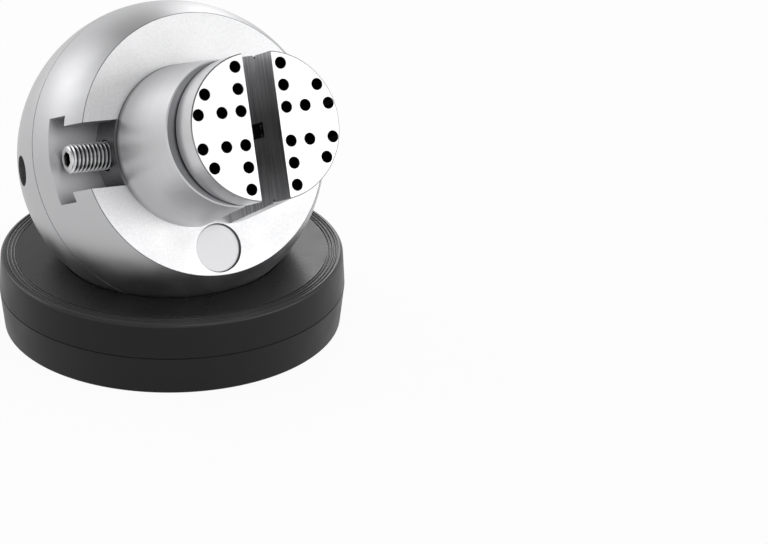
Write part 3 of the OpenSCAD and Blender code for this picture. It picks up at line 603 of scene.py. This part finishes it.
cone = add(tree, "ShaderNodeMix",
           {"data_type": "RGBA", 6: linear("D2D2D4"), 7: linear("DADADB")}, {0: streaks})
sawn = add(tree, "ShaderNodeMath", {"operation": "LESS_THAN", 1: inner_face}, {0: away})
tone = add(tree, "ShaderNodeMix", {"data_type": "RGBA"},
           {0: sawn, 6: cone.outputs[2], 7: wall.outputs[2]})
notch_x = add(tree, "ShaderNodeMath", {"operation": "SUBTRACT", 1: notch_middle}, {0: away})
notch_x2 = add(tree, "ShaderNodeMath", {"operation": "POWER", 1: 2.0}, {0: notch_x})
from_notch = add(tree, "ShaderNodeMath", {"operation": "MULTIPLY_ADD"}, {0: y, 1: y, 2: notch_x2})
near_notch = add(tree, "ShaderNodeMath", {"operation": "LESS_THAN", 1: notch_r2},
                 {0: from_notch})
at_notch = add(tree, "ShaderNodeMath",
               {"operation": "COMPARE", 1: notch_height, 2: notch_half_height}, {0: z})
notch_shade = add(tree, "ShaderNodeMath", {"operation": "MULTIPLY"}, {0: near_notch, 1: at_notch})
# Painted shade: the notch is painted near black, for the shade down in it.
tone = add(tree, "ShaderNodeMix", {"data_type": "RGBA", 7: linear("3A3A3C")},
           {0: notch_shade, 6: tone.outputs[2]})
# Painted shade: the feet below the face are painted darker, for the shade in the T-slot.
below_cone = add(tree, "ShaderNodeMapRange",
                 {"From Min": cone_low, "From Max": cone_low + cone_edge,
                  "To Min": 1.0, "To Max": 0.0},
                 {"Value": z})
tone = add(tree, "ShaderNodeMix", {"data_type": "RGBA", 7: linear("7E7E81")},
           {0: below_cone, 6: tone.outputs[2]})
# Painted shade: the jaw above the cone, under the plate, is painted darker, for the shade under the
# plate.
above_cone = add(tree, "ShaderNodeMapRange",
                 {"From Min": cone_high, "From Max": cone_high + cone_edge}, {"Value": z})
tone = add(tree, "ShaderNodeMix", {"data_type": "RGBA", 7: linear("8E8E91")},
           {0: above_cone, 6: tone.outputs[2]})
# Painted shadow: the cone's foot is darkened just above the face, most on one side, standing in for
# the shadow that the face's rim casts from the lamp behind.
shadow_side = add(tree, "ShaderNodeVectorMath", {"operation": "DOT_PRODUCT", 1: shadow_way}, {0: mm})
shadow_depth = add(tree, "ShaderNodeMapRange",
                {"From Min": shadow_near, "From Max": shadow_far, "To Min": shadow_least, "To Max": 1.0},
                {"Value": shadow_side.outputs["Value"]})
at_foot = add(tree, "ShaderNodeMapRange",
              {"From Min": shadow_edge, "From Max": shadow_end, "To Min": 1.0, "To Max": 0.0},
              {"Value": z})
on_cone = add(tree, "ShaderNodeMapRange",
              {"From Min": shadow_start, "From Max": shadow_start + cone_edge}, {"Value": z})
painted_foot_shadow = add(tree, "ShaderNodeMath", {"operation": "MULTIPLY"}, {0: at_foot, 1: on_cone})
painted_foot_shadow = add(tree, "ShaderNodeMath", {"operation": "MULTIPLY"}, {0: painted_foot_shadow, 1: shadow_depth})
tone = add(tree, "ShaderNodeMix", {"data_type": "RGBA", 7: linear("343436")},
           {0: painted_foot_shadow, 6: tone.outputs[2]})
rough = add(tree, "ShaderNodeMapRange",
            {"From Min": noise_low, "From Max": noise_high, "To Min": 0.36, "To Max": 0.44},
            {"Value": rings})
bump = add(tree, "ShaderNodeBump", {"Strength": 0.05, "Distance": 0.00004}, {"Height": rings})
tree.links.new(tone.outputs[2], shader.inputs["Base Color"])
tree.links.new(rough.outputs[0], shader.inputs["Roughness"])
tree.links.new(bump.outputs[0], shader.inputs["Normal"])
wear(["left_jaw", "right_jaw"], turned)

# The plates: ground steel half discs with twelve reamed pin holes each, held on the jaws' tops by a
# stud, two dowels and a set screw.
# Ground steel: nearly white under the lamps, with straight wheel lines along the gap, and painted
# shade: a dark line round the corner under the disc, a grey top edge and near black pin holes.
wheel_mark = (0.8, 40, 40)
half_gap = 6.5
plate_low, plate_high = 77.5, 93.3
plate_r = 30.4
plate_centre = 2.8
skin = 0.7
wall_skin = 0.1
corner_up, corner_half_height = 0.5, 0.75
corner_in, corner_half_width = 0.65, 0.62
edge_half = 0.45
ground, tree, shader = finish_of("ground_steel", "D6D6D7", 1.0, 0.28)
mm = head_millimetres(tree)
parts = add(tree, "ShaderNodeSeparateXYZ", {}, {0: mm})
x, y, z = parts.outputs
away = add(tree, "ShaderNodeMath", {"operation": "ABSOLUTE"}, {0: x})
along = add(tree, "ShaderNodeMapping", {"Scale": [1 / s for s in wheel_mark]}, {"Vector": mm})
wheel_lines = add(tree, "ShaderNodeTexNoise", {"Scale": 1, "Detail": 3}, {"Vector": along})
along = add(tree, "ShaderNodeMapping", {"Scale": [1 / s for s in saw_line]}, {"Vector": mm})
wall_lines = add(tree, "ShaderNodeTexNoise", {"Scale": 1, "Detail": 3}, {"Vector": along})
clear_lines = add(tree, "ShaderNodeMapRange", {"From Min": sharp_low, "From Max": sharp_high},
                  {"Value": wall_lines})
wall = add(tree, "ShaderNodeMix",
           {"data_type": "RGBA", 6: linear("BCBCBE"), 7: linear("E8E8E9")}, {0: clear_lines})
top_tone = add(tree, "ShaderNodeMix",
               {"data_type": "RGBA", 6: linear("DEDEDF"), 7: linear("E2E2E3")},
               {0: wheel_lines})
gap_wall = add(tree, "ShaderNodeMath", {"operation": "LESS_THAN", 1: half_gap + wall_skin},
               {0: away})
tone = add(tree, "ShaderNodeMix", {"data_type": "RGBA"},
           {0: gap_wall, 6: top_tone.outputs[2], 7: wall.outputs[2]})
from_centre = add(tree, "ShaderNodeMath", {"operation": "SUBTRACT", 1: plate_centre}, {0: away})
spot = add(tree, "ShaderNodeCombineXYZ", {}, {0: from_centre, 1: y})
reach = add(tree, "ShaderNodeVectorMath", {"operation": "LENGTH"}, {0: spot}).outputs["Value"]
# Painted shade: a dark line round the corner under the disc, where shade falls.
corner_high = add(tree, "ShaderNodeMath",
                  {"operation": "COMPARE", 1: plate_low + corner_up, 2: corner_half_height},
                  {0: z})
corner_wide = add(tree, "ShaderNodeMath",
                  {"operation": "COMPARE", 1: plate_r - corner_in, 2: corner_half_width},
                  {0: reach})
corner_shade = add(tree, "ShaderNodeMath", {"operation": "MULTIPLY"}, {0: corner_high, 1: corner_wide})
tone = add(tree, "ShaderNodeMix", {"data_type": "RGBA", 7: linear("303032")},
           {0: corner_shade, 6: tone.outputs[2]})
# Painted shade: the disc's top edge is painted grey, for the shade on its chamfer.
edge_high = add(tree, "ShaderNodeMath",
                {"operation": "COMPARE", 1: plate_high, 2: edge_half}, {0: z})
edge_wide = add(tree, "ShaderNodeMath",
                {"operation": "COMPARE", 1: plate_r, 2: edge_half}, {0: reach})
edge = add(tree, "ShaderNodeMath", {"operation": "MULTIPLY"}, {0: edge_high, 1: edge_wide})
tone = add(tree, "ShaderNodeMix", {"data_type": "RGBA", 7: linear("8C8C8E")},
           {0: edge, 6: tone.outputs[2]})
# Painted shade: the pin holes are painted near black inside, for the shade down in them.
past_wall = add(tree, "ShaderNodeMath", {"operation": "GREATER_THAN", 1: half_gap + skin},
                {0: away})
sunk = add(tree, "ShaderNodeMath",
           {"operation": "COMPARE", 1: (plate_low + plate_high) / 2,
            2: (plate_high - plate_low) / 2 - skin}, {0: z})
within = add(tree, "ShaderNodeMath", {"operation": "LESS_THAN", 1: plate_r - skin}, {0: reach})
hole_shade = add(tree, "ShaderNodeMath", {"operation": "MULTIPLY"}, {0: past_wall, 1: sunk})
hole_shade = add(tree, "ShaderNodeMath", {"operation": "MULTIPLY"}, {0: hole_shade, 1: within})
tone = add(tree, "ShaderNodeMix", {"data_type": "RGBA", 7: linear("303033")},
           {0: hole_shade, 6: tone.outputs[2]})
rough = add(tree, "ShaderNodeMapRange",
            {"From Min": noise_low, "From Max": noise_high, "To Min": 0.28, "To Max": 0.31},
            {"Value": wheel_lines})
bump = add(tree, "ShaderNodeBump", {"Strength": 0.02, "Distance": 0.00002},
           {"Height": wheel_lines})
tree.links.new(tone.outputs[2], shader.inputs["Base Color"])
tree.links.new(rough.outputs[0], shader.inputs["Roughness"])
tree.links.new(bump.outputs[0], shader.inputs["Normal"])
wear(["left_plate", "right_plate"], ground)

# The lock button: a steel plunger with a round head, pushed up by the spring under it.
# Faced steel: satin, with the fine circles of the facing tool and a rim painted darker as painted
# shade.
button_place = Vector((0, -43.8, 0))
rim_from, rim_to = 9.4, 9.9
circles_per_mm = 1.6
faced, tree, shader = finish_of("faced_steel", "C6C6C8", 1.0, 0.42)
mm = head_millimetres(tree)
centred = add(tree, "ShaderNodeVectorMath", {"operation": "SUBTRACT", 1: button_place}, {0: mm})
flat = add(tree, "ShaderNodeVectorMath", {"operation": "MULTIPLY", 1: (1, 1, 0)}, {0: centred})
reach = add(tree, "ShaderNodeVectorMath", {"operation": "LENGTH"}, {0: flat}).outputs["Value"]
circles = add(tree, "ShaderNodeTexNoise",
              {"noise_dimensions": "1D", "Scale": circles_per_mm, "Detail": 2}, {"W": reach})
# Painted shade: the head's rim is painted darker, for the shade at its edge in the bore.
at_rim = add(tree, "ShaderNodeMapRange",
             {"From Min": rim_from, "From Max": rim_to}, {"Value": reach})
tone = add(tree, "ShaderNodeMix",
           {"data_type": "RGBA", 6: linear("C2C2C4"), 7: linear("98989A")}, {0: at_rim})
rough = add(tree, "ShaderNodeMapRange",
            {"From Min": noise_low, "From Max": noise_high, "To Min": 0.38, "To Max": 0.46},
            {"Value": circles})
bump = add(tree, "ShaderNodeBump", {"Strength": 0.05, "Distance": 0.00003}, {"Height": circles})
tree.links.new(tone.outputs[2], shader.inputs["Base Color"])
tree.links.new(rough.outputs[0], shader.inputs["Roughness"])
tree.links.new(bump.outputs[0], shader.inputs["Normal"])
wear(["lock_button"], faced)

# The plunger's spring: eight turns of music wire round the plunger, between the bore's floor and
# the button.
wire_r = 0.0006
coil_r = 0.0055
coil_turns = 8
wire_sides, coil_steps = 10, 28
to_head = head_place.inverted()
heights = [(to_head @ v.co).z for v in nodes["lock_spring"].data.vertices]
coil_low, coil_high = min(heights) + wire_r, max(heights) - wire_r
bpy.ops.object.select_all(action="DESELECT")
bpy.ops.mesh.primitive_circle_add(vertices=wire_sides, radius=wire_r, rotation=(pi / 2, 0, 0),
                                  location=(coil_r, 0, coil_low))
bpy.ops.object.transform_apply(location=True, rotation=True, scale=True)
spring = bpy.context.active_object
spring.name = "plunger_spring"
apply_modifier(spring, "SCREW", axis="Z", steps=coil_steps, render_steps=coil_steps,
               iterations=coil_turns, screw_offset=(coil_high - coil_low) / coil_turns,
               use_merge_vertices=True, merge_threshold=weld)
bpy.ops.object.mode_set(mode="EDIT")
bpy.ops.mesh.select_all(action="SELECT")
bpy.ops.mesh.remove_doubles(threshold=weld)
bpy.ops.mesh.select_all(action="DESELECT")
bpy.ops.mesh.select_non_manifold()
bpy.ops.mesh.edge_face_add()
bpy.ops.mesh.select_all(action="SELECT")
bpy.ops.mesh.normals_make_consistent(inside=False)
bpy.ops.object.mode_set(mode="OBJECT")
spring.data.transform(Matrix.Translation(button_place / 1000))
spring.data.transform(head_place)
only(spring)
bpy.ops.object.shade_smooth_by_angle(angle=radians(40))
spring.data.materials.append(oxide)
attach(spring, "head")
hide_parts("lock_spring")
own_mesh(spring)
